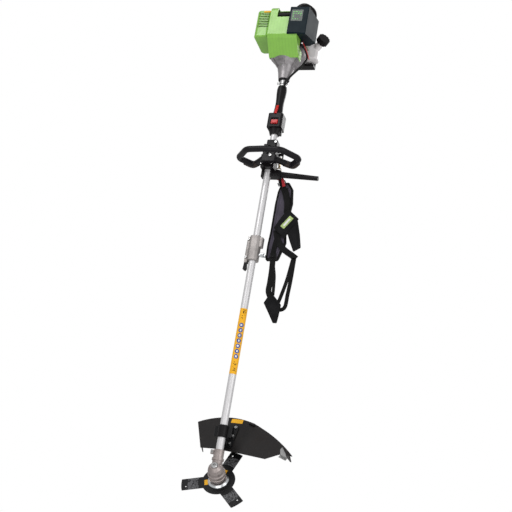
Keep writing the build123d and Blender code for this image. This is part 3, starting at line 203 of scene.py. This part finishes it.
cadLooks = {
    "silver_tube": {
        "colour": (0.7, 0.69, 0.7), "rough": 0.46, "metal": 0.55, "stretch": (1, 1, 0.02), "grain": 1600,
        "bump": 0.0, "sparkle": 0.02, "dark": 0.96,
    },
    "gear_case_alloy": {
        "colour": (0.43, 0.375, 0.36), "rough": 0.42, "metal": 0.7, "grain": 900, "bump": 0.3,
        "dark": 0.75, "dust": 0.1,
    },
    "cast_alloy": {
        "colour": (0.38, 0.36, 0.37), "rough": 0.46, "metal": 0.8, "grain": 800, "bump": 0.5,
        "dark": 0.75, "dust": 0.08,
    },
    "coupling_alloy": {
        "colour": (0.36, 0.335, 0.325), "rough": 0.5, "metal": 0.6, "grain": 800, "bump": 0.5,
        "dark": 0.75, "dust": 0.1,
    },
    "red_plastic": {"colour": (0.6, 0.008, 0.008), "rough": 0.35, "bump": 0.1},
    "steel": {"colour": (0.5, 0.5, 0.5), "rough": 0.3, "metal": 1.0, "grain": 1500, "bump": 0.1},
    "flange_steel": {
        "colour": (0.8, 0.82, 0.84), "rough": 0.24, "metal": 1.0, "grain": 1500, "bump": 0.08,
    },
    "blade_paint": {
        "colour": (0.007, 0.007, 0.008), "rough": 0.34, "specular": 0.25, "grain": 900, "bump": 0.08,
        "layer": bladePrintAndHighlight,
    },
    "guard_plastic": {
        "colour": (0.012, 0.01, 0.01), "rough": 0.36, "specular": 0.28, "grain": 1000, "bump": 0.12,
        "dust": 0.02,
    },
    "black_plastic": {
        "colour": (0.007, 0.006, 0.007), "rough": 0.4, "specular": 0.18, "grain": 1300, "bump": 0.3,
    },
    "loop_plastic": {
        "colour": (0.009, 0.008, 0.01), "rough": 0.38, "specular": 0.2, "grain": 1300, "bump": 0.2,
    },
    "green_plastic": {
        "colour": (0.235, 0.52, 0.065), "rough": 0.3, "coat": 0.25, "dark": 0.88, "grain": 900,
        "bump": 0.08, "layer": ribShade,
    },
    "dark_cover": {
        "colour": (0.003, 0.012, 0.018), "rough": 0.38, "specular": 0.1, "grain": 1200, "bump": 0.12,
    },
    "foam": {"colour": (0.03, 0.03, 0.03), "rough": 0.95, "grain": 700, "bump": 0.8},
    "rubber_black": {
        "colour": (0.007, 0.007, 0.007), "rough": 0.6, "specular": 0.25, "grain": 1200, "bump": 0.3,
    },
    "tank_plastic": {
        "colour": (0.82, 0.79, 0.79), "rough": 0.35, "dark": 0.9, "cloud": 9, "grain": 700, "bump": 0.1,
    },
    "hook_metal": {
        "colour": (0.42, 0.33, 0.2), "rough": 0.3, "metal": 1.0, "grain": 1300, "bump": 0.1,
    },
    "pad_purple": {
        "colour": (0.085, 0.075, 0.1), "rough": 0.85, "specular": 0.2, "weave": 260.0, "grain": 1500,
        "bump": 0.7, "depth": 0.0004,
    },
    "pad_dark": {
        "colour": (0.008, 0.008, 0.009), "rough": 0.85, "specular": 0.2, "weave": 260.0, "grain": 1500,
        "bump": 0.7, "depth": 0.0004,
    },
    "webbing": {
        "colour": (0.006, 0.006, 0.006), "rough": 0.75, "specular": 0.2, "weave": 320.0, "grain": 1600,
        "bump": 0.8, "depth": 0.0005,
    },
}
addedLooks = {
    "orangeLabel": {
        "colour": (0.9, 0.46, 0.02), "rough": 0.45, "specular": 0.25, "dark": 0.95, "bump": 0.03,
    },
    "blueInk": {"colour": (0.02, 0.07, 0.32), "rough": 0.4, "bump": 0.03},
    "whiteInk": {"colour": (0.8, 0.8, 0.8), "rough": 0.4, "bump": 0.03},
    "labelGround": {"colour": (0.012, 0.03, 0.02), "rough": 0.25, "bump": 0.03},
    "labelGreen": {"colour": (0.12, 0.5, 0.08), "rough": 0.3, "bump": 0.03},
    # near-black shared by the painted shade behind the louvres and the printed sticker lines
    "slotShadeAndInk": {"colour": (0.004, 0.004, 0.004), "rough": 0.9, "bump": 0.2},
    "greenPatch": {"colour": (0.42, 0.55, 0.2), "rough": 0.7, "weave": 300.0, "bump": 0.5},
    "brownGrip": {"colour": (0.035, 0.022, 0.017), "rough": 0.7, "grain": 900, "bump": 0.5},
    "redStrap": {"colour": (0.5, 0.02, 0.03), "rough": 0.75, "weave": 320.0, "bump": 0.7},
    "clearHose": {"colour": (0.35, 0.3, 0.16), "rough": 0.25, "bump": 0.05},
    "brassFitting": {"colour": (0.6, 0.4, 0.14), "rough": 0.3, "metal": 1.0, "bump": 0.1},
    "floorPaint": {
        "colour": (0.86, 0.86, 0.86), "rough": 0.85, "dark": 0.99, "cloud": 0.5, "bump": 0.0,
        "sparkle": 0.0, "specular": 0.1,
    },
}
materials = {name: material(name, look) for name, look in {**cadLooks, **addedLooks}.items()}
for entry in frame["record"]["subparts"]:
    cadNode = nodes[entry["node"]]
    cadNode.data.materials.clear()
    cadNode.data.materials.append(materials[entry["material_slot"]])
print("materials done")


def piece(name, built, look, body, smooth=40):
    mesh = bpy.data.meshes.new(name)
    bmesh.ops.recalc_face_normals(built, faces=built.faces)
    built.to_mesh(mesh)
    built.free()
    made = bpy.data.objects.new(name, mesh)
    bpy.context.scene.collection.objects.link(made)
    mesh.materials.append(materials[look])
    mesh.shade_smooth()
    mesh.set_sharp_from_angle(angle=math.radians(smooth))
    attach(made, body)
    return made


def joinRings(built, rings):
    # walls between rings of points, and a cap on each end
    for first, second in zip(rings, rings[1:]):
        for k in range(len(first)):
            j = (k + 1) % len(first)
            built.faces.new((first[k], first[j], second[j], second[k]))
    built.faces.new(rings[0][::-1])
    built.faces.new(rings[-1])


def addRod(built, start, direction, radius, length, sides=24, soft=0.0):
    way = direction.normalized()
    side = way.orthogonal().normalized()
    other = way.cross(side)
    rings = []
    profile = [(0.0, radius - soft), (soft, radius), (length - soft, radius), (length, radius - soft)]
    for along, reach in profile:
        turns = [2 * math.pi * k / sides for k in range(sides)]
        middle = start + way * along
        rings.append([
            built.verts.new(middle + side * reach * math.cos(turn) + other * reach * math.sin(turn))
            for turn in turns
        ])
    joinRings(built, rings)


def smoothPath(points, count):
    # a curve through the points, as evenly numbered places
    places = []
    padded = [points[0] * 2 - points[1], *points, points[-1] * 2 - points[-2]]
    spans = len(points) - 1
    for k in range(count + 1):
        t = k / count * spans
        j = min(int(t), spans - 1)
        f = t - j
        a, b, c, d = padded[j:j + 4]
        bend = (a * 2 - b * 5 + c * 4 - d) * f ** 2 + (b * 3 - a - c * 3 + d) * f ** 3
        places.append(0.5 * (b * 2 + (c - a) * f + bend))
    return places


def wayAlong(path, k):
    return (path[min(k + 1, len(path) - 1)] - path[max(k - 1, 0)]).normalized()


def addHose(built, path, radius, sides=12, swells=None):
    rings = []
    side = (path[1] - path[0]).normalized().orthogonal().normalized()
    for k, place in enumerate(path):
        way = wayAlong(path, k)
        side = (side - way * side.dot(way)).normalized()
        other = way.cross(side)
        reach = radius * (swells[k] if swells else 1.0)
        turns = [2 * math.pi * j / sides for j in range(sides)]
        rings.append([
            built.verts.new(place + (side * math.cos(turn) + other * math.sin(turn)) * reach)
            for turn in turns
        ])
    joinRings(built, rings)


def addBand(built, path, faceWay, width, thickness):
    # flat webbing along a path, with its flat side facing faceWay
    rings = []
    for k, place in enumerate(path):
        way = wayAlong(path, k)
        normal = (faceWay - way * faceWay.dot(way)).normalized()
        side = way.cross(normal)
        corners = [(-0.5, -0.5), (0.5, -0.5), (0.5, 0.5), (-0.5, 0.5)]
        rings.append([built.verts.new(place + side * width * a + normal * thickness * b) for a, b in corners])
    joinRings(built, rings)


def addPlate(built, centre, right, normal, width, height, thickness, corner):
    # a thin plate with rounded corners, standing out from centre along normal
    up = normal.cross(right).normalized()
    outline = []
    for signX, signY, begin in ((1, 1, 0), (-1, 1, 1), (-1, -1, 2), (1, -1, 3)):
        for k in range(5):
            turn = (begin + k / 4) * math.pi / 2
            outline.append((
                signX * (width / 2 - corner) + corner * math.cos(turn),
                signY * (height / 2 - corner) + corner * math.sin(turn),
            ))
    low = [built.verts.new(centre + right * a + up * b) for a, b in outline]
    high = [built.verts.new(centre + right * a + up * b + normal * thickness) for a, b in outline]
    joinRings(built, [low, high])


def addSleeve(built, low, high, radius, begin, end, steps=48):
    # a thin wrap round the main tube, over part of a turn
    thickness = 0.00015
    grid = []
    for k in range(steps + 1):
        turn = math.radians(begin + (end - begin) * k / steps)
        way = Vector((math.cos(turn), math.sin(turn), 0))
        grid.append([
            built.verts.new(way * reach + Vector((0, 0, z)))
            for reach in (radius, radius + thickness) for z in (low, high)
        ])
    for first, second in zip(grid, grid[1:]):
        for a, b in ((0, 1), (1, 3), (3, 2), (2, 0)):
            built.faces.new((first[a], first[b], second[b], second[a]))
    for ring in (grid[0], grid[-1]):
        built.faces.new((ring[0], ring[1], ring[3], ring[2]))


up = Vector((0, -1, 0))
right = Vector((1, 0, 0))
upTube = Vector((0, 0, 1))

sticker = {
    "low": 332, "high": 570, "radius": 0.01302, "lift": 0.0002, "from": -150, "to": 25, "reach": 13.2,
    "discs": 7, "first": 62, "pitch": 19, "disc": 8.0, "row": 1.75, "rows": 4, "turn": -67,
    "mark": 3.5, "lines": 26, "line": 1.1, "block": 188,
}
discPlaces = [sticker["low"] + sticker["first"] + k * sticker["pitch"] for k in range(sticker["discs"])]
low, high = level(sticker["low"]), level(sticker["high"])
built = bmesh.new()
addSleeve(built, low, high, sticker["radius"], sticker["from"], sticker["to"])
piece("tubeSticker", built, "orangeLabel", "lower_unit")
built = bmesh.new()
for middle in discPlaces:
    for row in range(-sticker["rows"], sticker["rows"] + 1):
        rise = row * sticker["row"]
        half = math.degrees(math.sqrt(sticker["disc"] ** 2 - rise ** 2) / sticker["reach"])
        low, high = rise - sticker["row"] / 2, rise + sticker["row"] / 2
        begin, end = sticker["turn"] - half, sticker["turn"] + half
        radius = sticker["radius"] + sticker["lift"]
        addSleeve(built, level(middle + low), level(middle + high), radius, begin, end, 8)
piece("stickerDiscs", built, "blueInk", "lower_unit")
built = bmesh.new()
for k, middle in enumerate(discPlaces):
    low, high = level(middle - sticker["mark"]), level(middle + sticker["mark"])
    addSleeve(built, low, high, sticker["radius"] + 2 * sticker["lift"], -84 + 6 * (k % 2), -56, 8)
piece("stickerMarks", built, "whiteInk", "lower_unit")
built = bmesh.new()
for k in range(sticker["lines"]):
    middle = sticker["low"] + 9 + chance.random() * 40 + (0 if k % 2 else sticker["block"])
    turn = -95 + chance.random() * 50
    low, high = level(middle - sticker["line"]), level(middle + sticker["line"])
    addSleeve(built, low, high, sticker["radius"] + sticker["lift"], turn, turn + 8 + chance.random() * 14, 4)
piece("stickerLines", built, "slotShadeAndInk", "lower_unit")
print("sticker done")

ringGrip = {"radius": 0.0122, "swell": 0.06, "count": 60, "sides": 20, "centre": 12}
ribs = bmesh.new()
for sign in (-1, 1):
    line = [(50, -15), (72, 3.5), (84, 1.5), (100, -19)]
    points = [at(ringGrip["centre"] + sign * x, y, 1140) for x, y in line]
    path = smoothPath(points, ringGrip["count"])
    swells = [1.0 + ringGrip["swell"] * (k % 4 < 2) for k in range(len(path))]
    addHose(ribs, path, ringGrip["radius"], ringGrip["sides"], swells)
piece("loopGripRibs", ribs, "brownGrip", mainBody)

screw = {"places": [(-20, -35, 1128), (-20, -35, 1196), (19, -35, 1128)], "radius": 0.0032, "length": 0.0028}
hardware = bmesh.new()
for place in screw["places"]:
    addRod(hardware, at(*place) - up * 0.001, up, screw["radius"], screw["length"], 20, 0.0005)
piece("smallScrews", hardware, "steel", mainBody)

tie = {"stations": (1268, 1478), "radius": 0.0137, "length": 0.004}
ties = bmesh.new()
for station in tie["stations"]:
    addRod(ties, at(0, 0, station), upTube, tie["radius"], tie["length"], 40, 0.0004)
piece("cableTies", ties, "black_plastic", mainBody)

hose = {"radius": 0.0028, "points": [(60, 52, 1668), (67, 22, 1652), (65, -14, 1650), (56, -42, 1660)]}
built = bmesh.new()
addHose(built, smoothPath([at(*point) for point in hose["points"]], 40), hose["radius"])
piece("fuelHose", built, "clearHose", mainBody)

lead = {"radius": 0.0032, "points": [(-8, -117, 1714), (-22, -108, 1714), (-26, -86, 1708), (-22, -62, 1700)]}
built = bmesh.new()
addHose(built, smoothPath([at(*point) for point in lead["points"]], 40), lead["radius"])
piece("plugLead", built, "rubber_black", mainBody)

fitting = {"places": [(62, -48, 1646), (66, -60, 1640), (60, -66, 1652)], "radius": 0.003, "length": 0.009}
fittings = bmesh.new()
for place in fitting["places"]:
    addRod(fittings, at(*place), Vector((0.4, -0.7, 0)), fitting["radius"], fitting["length"], 6, 0.0004)
piece("carburettorFittings", fittings, "brassFitting", mainBody)

coverLabel = {"width": 0.026, "height": 0.0065, "thick": 0.0004, "corner": 0.001}
printed = bmesh.new()
addPlate(printed, at(-74, -112.05, 1737), right, up, *coverLabel.values())
piece("coverLabel", printed, "orangeLabel", mainBody)

slant = Vector((0.9985, 0.0555, 0))
outward = Vector((0.0555, -0.9985, 0))
boxLabel = {"width": 0.044, "height": 0.05, "thick": 0.0006, "corner": 0.003}
printed = bmesh.new()
addPlate(printed, at(56, -136.4, 1700), slant, outward, *boxLabel.values())
piece("boxLabel", printed, "labelGround", "air_filter_cover")

marks = {"rows": 5, "columns": 4, "first": 1684, "rise": 8, "pitch": 0.0095, "share": 0.8}
printed = bmesh.new()
for row in range(marks["rows"]):
    for column in range(marks["columns"]):
        if chance.random() < marks["share"]:
            middle = at(56, -136.4, marks["first"] + row * marks["rise"])
            middle = middle + slant * (column - 1.5) * marks["pitch"] + outward * boxLabel["thick"]
            width = 0.004 + chance.random() * 0.004
            height = 0.002 + chance.random() * 0.003
            addPlate(printed, middle, slant, outward, width, height, 0.0002, 0.0007)
piece("boxLabelMarks", printed, "labelGreen", "air_filter_cover")

# a dark sheet behind the louvres: painted shade where the slots fall dark
louvres = {"width": 0.048, "height": 0.072, "thick": 0.0006, "corner": 0.002}
slots = bmesh.new()
addPlate(slots, at(-83, -109.3, 1700), right, -up, *louvres.values())
piece("louvreShade", slots, "slotShadeAndInk", mainBody)

guardLabel = {"width": 0.042, "height": 0.018, "thick": 0.0004, "corner": 0.001}
printed = bmesh.new()
labelPlace = gearCentre + spin * -0.00595 + backward * 0.2305 + right * 0.004
addPlate(printed, labelPlace, right, spin, *guardLabel.values())
piece("guardLabel", printed, "orangeLabel", "lower_unit")

bladeLabel = {"width": 0.022, "height": 0.012, "thick": 0.0004, "corner": 0.001}
printed = bmesh.new()
for turn in (3.5, 1.4):
    side = right * math.cos(turn) + backward * math.sin(turn)
    labelPlace = bladeCentre + side * 0.042 + spin * -0.0019
    addPlate(printed, labelPlace, side.cross(spin), spin, *bladeLabel.values())
piece("bladeLabels", printed, "orangeLabel", "blade_set")

stop = {"radius": 0.0016, "points": [(63, -58, 1644), (74, -46, 1624), (84, -26, 1604), (90, -10, 1584)]}
wire = bmesh.new()
addHose(wire, smoothPath([at(*point) for point in stop["points"]], 30), stop["radius"], 10)
piece("stopWire", wire, "red_plastic", mainBody)

clamp = {"radius": 0.0142, "height": 0.008, "ear": 0.0035, "earLength": 0.009, "head": 0.005}
wings = bmesh.new()
for side in (-1, 1):
    addRod(wings, at(side * 12.5, -3, 1484), right * side, clamp["ear"], clamp["earLength"], 16, 0.0006)
    addRod(wings, at(side * 20, -3, 1484), right * side, clamp["head"], 0.0022, 20, 0.0006)
addRod(wings, at(0, 0, 1480), upTube, clamp["radius"], clamp["height"], 40, 0.0006)
piece("housingClamp", wings, "steel", mainBody)

ring = bmesh.new()
addRod(ring, at(0, 0, 1496), upTube, 0.0212, 0.008, 48, 0.0012)
piece("housingRing", ring, "black_plastic", mainBody)
print("small parts done")


def between(rows, t):
    # smooth place along a list of pairs of points
    spans = len(rows) - 1
    j = min(int(t * spans), spans - 1)
    f = t * spans - j
    f = f * f * (3 - 2 * f) * 0.35 + f * 0.65
    return [a.lerp(b, f) for a, b in zip(rows[j], rows[j + 1])]


def rounded(distance, reach):
    # rises from 0 at an edge to 1 once distance is past reach
    return (1 - (1 - min(distance / reach, 1)) ** 2.4) ** 0.5


stuffing = {"edge": 0.009, "end": 0.012, "seam": 0.0095, "seamWidth": 0.0022, "seamDepth": 0.35, "full": 0.82}


def softPad(name, pairs, low, high, look, replaced, setting):
    # a stuffed panel between two edge lines, fat in the middle and creased by its stitching
    rows = [(at(a, 0, b), at(c, 0, d)) for a, b, c, d in pairs]
    built = bmesh.new()
    long, wide = setting["long"], setting["wide"]
    middle, half = (low + high) / 2000, (high - low) / 2000
    for face in (-1, 1):
        grid = []
        for i in range(long + 1):
            t = i / long
            left, right = between(rows, t)
            line = []
            for j in range(wide + 1):
                u = j / wide
                place = left.lerp(right, u)
                edge = min(u, 1 - u) * (right - left).length
                ends = min(t, 1 - t) * setting["length"]
                lift = rounded(edge, stuffing["edge"]) * rounded(ends, stuffing["end"])
                fromSeam = (edge - stuffing["seam"]) / stuffing["seamWidth"]
                crease = stuffing["seamDepth"] * math.exp(-fromSeam ** 2)
                rumple = 0.22 * noise.noise(place * 28) + 0.09 * noise.noise(place * 85)
                depth = middle + face * half * max(lift * (stuffing["full"] - crease + rumple), 0.0)
                line.append(built.verts.new((place.x, depth, place.z)))
            grid.append(line)
        for a, b in zip(grid, grid[1:]):
            for j in range(wide):
                built.faces.new((a[j], a[j + 1], b[j + 1], b[j]))
    bmesh.ops.remove_doubles(built, verts=built.verts, dist=0.00012)
    made = piece(name, built, look, "harness", 60)
    if replaced:
        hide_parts(replaced)
    steps = [i / long for i in range(long + 1)]
    loop = [between(rows, t)[0] for t in steps] + [between(rows, 1 - t)[1] for t in steps]
    loop = [Vector((p.x, middle, p.z)) for p in loop]
    loop.append(loop[0])
    edging = bmesh.new()
    addHose(edging, loop, setting["edging"], 10)
    piece(name + "Edging", edging, "webbing", "harness")


hip = {
    "long": 170, "wide": 40, "length": 0.31, "edging": 0.0062, "slot": "pad_purple",
    "outline": [
        (50, 1081, 72, 1083), (42, 1050, 89, 1058), (39, 1000, 96, 1002), (39, 945, 91, 948),
        (39, 890, 87, 895), (36, 830, 95, 846), (38, 779, 76, 781),
    ],
}
softPad("hipPanel", hip["outline"], 37.3, 54, "pad_purple", "hip_pad", hip)
crossPad = {
    "long": 90, "wide": 46, "length": 0.09, "edging": 0.0024, "slot": "pad_dark",
    "outline": [(92, 972, 136, 935), (78, 946, 122, 908), (65, 922, 108, 883), (52, 897, 94, 858)],
}
softPad("crossPanel", crossPad["outline"], 20, 33, "pad_dark", "harness_pads", crossPad)
lowPad = {
    "long": 80, "wide": 34, "length": 0.11, "edging": 0.0024, "slot": "pad_dark",
    "outline": [(106, 878, 134, 928), (122, 843, 150, 872), (138, 810, 160, 825)],
}
softPad("lowerPanel", lowPad["outline"], 22, 33, "pad_dark", None, lowPad)
flap = {
    "long": 80, "wide": 40, "length": 0.1, "edging": 0.0024, "slot": "pad_dark",
    "outline": [(73, 634, 89, 637), (61, 608, 121, 604), (84, 572, 119, 566), (105, 538, 116, 538)],
}
softPad("lowerFlap", flap["outline"], 23, 33, "pad_dark", None, flap)
print("pads done")

webbing = {
    "thick": 0.0022, "steps": 60,
    "bands": [
        ([(34, 35, 1118), (50, 35, 1080), (70, 35, 1036), (82, 35, 1000), (86, 35, 962)], 0.021),
        ([(28, 30.5, 1134), (28, 30.5, 1122), (31, 32, 1114), (38, 35, 1104)], 0.012),
        ([(61, 35, 802), (66, 35, 740), (67, 35, 690), (67, 35, 655), (80, 35, 628)], 0.021),
        ([(70, 34, 752), (79, 34, 715), (83, 34, 680), (86, 34, 640)], 0.011),
        ([(58, 35, 892), (72, 35, 850), (98, 35, 818), (130, 35, 797), (149, 35, 784)], 0.023),
        ([
            (143, 35, 786), (142, 35, 704), (139, 35, 644), (137, 35, 602), (124, 35, 589), (106, 35, 591),
        ], 0.014),
        ([(138, 34, 780), (129, 34, 704), (117, 34, 643), (106, 34, 600)], 0.013),
        ([(66, 36, 1060), (84, 36, 1010), (90, 36, 960), (78, 36, 900), (64, 36, 850), (60, 36, 800)], 0.018),
    ],
}
straps = bmesh.new()
for points, width in webbing["bands"]:
    path = smoothPath([at(*point) for point in points], webbing["steps"])
    addBand(straps, path, -up, width, webbing["thick"])
made = piece("webbingStraps", straps, "webbing", "harness")
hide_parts("harness_straps")

built = bmesh.new()
addHose(built, smoothPath([at(28, y, 1129.3) for y in (29, 34, 39)], 12), 0.0029, 16)
piece("strapPin", built, "steel", "harness")

steep = Vector((0.819, 0, -0.574))
patchSize = {"width": 0.018, "height": 0.052, "thick": 0.003, "corner": 0.002}
patch = bmesh.new()
addPlate(patch, at(98, 22.2, 918), steep, up, *patchSize.values())
piece("greenPatch", patch, "greenPatch", "harness")
markSize = {"width": 0.007, "height": 0.034, "thick": 0.0004, "corner": 0.001}
patch = bmesh.new()
addPlate(patch, at(98, 19.4, 918), steep, up, *markSize.values())
piece("patchMark", patch, "whiteInk", "harness")

release = {
    "thick": 0.002, "face": Vector((0.1, 1, 0)),
    "bands": [
        ([(30, 27, 1116), (40, 27, 1106), (52, 27, 1092), (61, 30, 1066)], 30, 0.011),
        ([(28, 27, 1118), (34, 26.5, 1106), (36, 27, 1090)], 24, 0.009),
        ([(28, 27, 1106), (44, 26, 1108), (58, 27, 1104)], 24, 0.01),
    ],
}
releases = bmesh.new()
for points, steps, width in release["bands"]:
    path = smoothPath([at(*point) for point in points], steps)
    addBand(releases, path, release["face"], width, release["thick"])
piece("redRelease", releases, "redStrap", "harness")

slider = {"half": 0.014, "step": 0.006, "side": 0.007, "bar": 0.0016, "edge": 0.0017}
sliders = bmesh.new()
for place, turn in ((at(50, 33, 1080), 0.5), (at(64, 33, 780), 0.05)):
    along = Vector((math.cos(turn), 0, math.sin(turn)))
    below = along.cross(-up)
    for step in (-1, 0, 1):
        middle, reach = place + below * slider["step"] * step, along * slider["half"]
        addHose(sliders, [middle - reach, middle + reach], slider["bar"], 10)
    for step in (-1, 1):
        middle, reach = place + along * slider["half"] * step, below * slider["side"]
        addHose(sliders, [middle - reach, middle + reach], slider["edge"], 10)
piece("strapSliders", sliders, "black_plastic", "harness")
print("straps done")

# the camera looks a little up at the machine
view = {
    "place": (1.1569, -3.2492, -1.4485), "lens": 71.95, "sensor": 36,
    "right": (0.9487, 0.2726, 0.1602), "up": (-0.0481, -0.3763, 0.9253), "back": (0.3125, -0.8855, -0.3439),
}
camera = bpy.data.objects.new("camera", bpy.data.cameras.new("camera"))
bpy.context.scene.collection.objects.link(camera)
turned = Matrix((view["right"], view["up"], view["back"])).transposed().to_4x4()
camera.matrix_world = Matrix.Translation(view["place"]) @ turned
camera.data.lens = view["lens"]
camera.data.sensor_width = view["sensor"]
camera.data.clip_start = 0.05
camera.data.clip_end = 60
bpy.context.scene.camera = camera

ground = {"half": 14, "height": -1.75}
floorMesh = bmesh.new()
groundPlace = Matrix.Translation((0, 0, ground["height"]))
bmesh.ops.create_grid(floorMesh, x_segments=1, y_segments=1, size=ground["half"], matrix=groundPlace)
mesh = bpy.data.meshes.new("floor")
floorMesh.to_mesh(mesh)
floorMesh.free()
floor = bpy.data.objects.new("floor", mesh)
mesh.materials.append(materials["floorPaint"])
bpy.context.scene.collection.objects.link(floor)


def light(name, place, target, size, power):
    lamp = bpy.data.lights.new(name, "AREA")
    lamp.size = size
    lamp.energy = power
    made = bpy.data.objects.new(name, lamp)
    bpy.context.scene.collection.objects.link(made)
    made.location = place
    made.rotation_euler = (Vector(target) - Vector(place)).to_track_quat("-Z", "Y").to_euler()


light("keyLight", (-1.2, -3.4, 2.2), (0, 0, 0.2), 2.0, 66)
light("fillLight", (3.0, -2.0, -0.2), (0, 0, -0.2), 2.4, 34)
light("lowLight", (0.2, -2.6, -1.6), (0, 0, -0.8), 1.6, 16)
light("rimLight", (0.6, 2.2, 2.0), (0, 0, 0.2), 1.6, 30)

# a dim sky lights the part, and the camera sees it as white
sky = {"colour": (1, 1, 1, 1), "lit": 0.5, "seen": 1.0}
world = bpy.data.worlds.new("studio")
bpy.context.scene.world = world
world.use_nodes = True
tree = world.node_tree
glow = tree.nodes["Background"]
glow.inputs["Color"].default_value = sky["colour"]
glow.inputs["Strength"].default_value = sky["lit"]
seen = make(tree, "ShaderNodeLightPath", {})
white = make(tree, "ShaderNodeBackground", {"Color": sky["colour"], "Strength": sky["seen"]})
both = make(tree, "ShaderNodeMixShader", {0: seen, 1: Wire(tree, glow.outputs[0]), 2: white})
tree.links.new(both.socket, tree.nodes["World Output"].inputs["Surface"])
bpy.context.scene.view_settings.view_transform = "Standard"

print("scene done")
